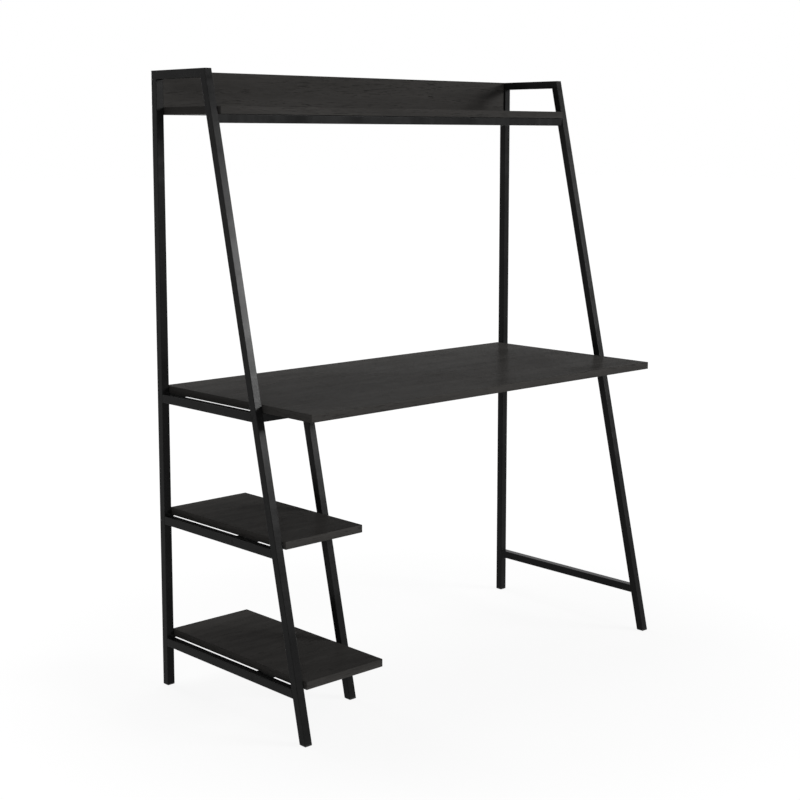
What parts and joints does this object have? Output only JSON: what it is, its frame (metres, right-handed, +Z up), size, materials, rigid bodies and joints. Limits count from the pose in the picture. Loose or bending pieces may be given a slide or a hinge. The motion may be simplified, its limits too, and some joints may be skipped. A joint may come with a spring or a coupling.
{
  "type": "ladder desk",
  "caption": "Free-standing ladder desk: slanted square-tube steel side frames carry a wide desktop, a narrow top shelf with a back board, and low shelves in a bay at the left.",
  "frame": {"origin": "on the floor, under the middle of the desk's box", "axes": "+Z up, +Y to the back (the side with the back board), +X to the sitter's right"},
  "size_m": [1.2, 0.549, 1.48],
  "materials": {
    "frame_steel": "black powder coat, satin",
    "board_laminate": "black oak laminate, fine grain along X",
    "black_plastic": "matt moulded",
    "plated_steel": "zinc plated",
    "black_screw_steel": "black zinc"
  },
  "bodies": {
    "root": {"left_rear_leg": "frame_steel", "left_front_leg": "frame_steel", "left_top_rail": "frame_steel", "left_desk_rail": "frame_steel", "left_middle_rail": "frame_steel", "left_lower_rail": "frame_steel", "right_rear_leg": "frame_steel", "right_front_leg": "frame_steel", "right_top_rail": "frame_steel", "right_desk_rail": "frame_steel", "right_lower_rail": "frame_steel", "inner_leg": "frame_steel", "inner_leg_plate": "frame_steel", "desk_front_crossbar": "frame_steel", "desk_rear_crossbar": "frame_steel", "hutch_crossbar": "frame_steel", "middle_shelf_crossbar": "frame_steel", "lower_shelf_crossbar": "frame_steel", "middle_shelf_rear_tab": "frame_steel", "middle_shelf_front_tab": "frame_steel", "lower_shelf_rear_tab": "frame_steel", "lower_shelf_front_tab": "frame_steel", "desktop": "board_laminate", "middle_shelf": "board_laminate", "lower_shelf": "board_laminate", "hutch_shelf": "board_laminate", "hutch_back_board": "board_laminate", "left_rear_glide": "black_plastic", "left_front_glide": "black_plastic", "right_rear_glide": "black_plastic", "right_front_glide": "black_plastic", "inner_glide": "black_plastic", "bolt_hole_plugs": "black_plastic", "crossbar_bolts": "plated_steel", "back_board_bolts": "plated_steel", "crossbar_end_nuts": "plated_steel", "back_board_inserts": "plated_steel", "desktop_screws": "black_screw_steel", "hutch_shelf_screws": "black_screw_steel", "low_shelf_screws": "black_screw_steel", "inner_leg_plate_screws": "black_screw_steel", "back_board_screws": "black_screw_steel"}
  },
  "joints": []
}
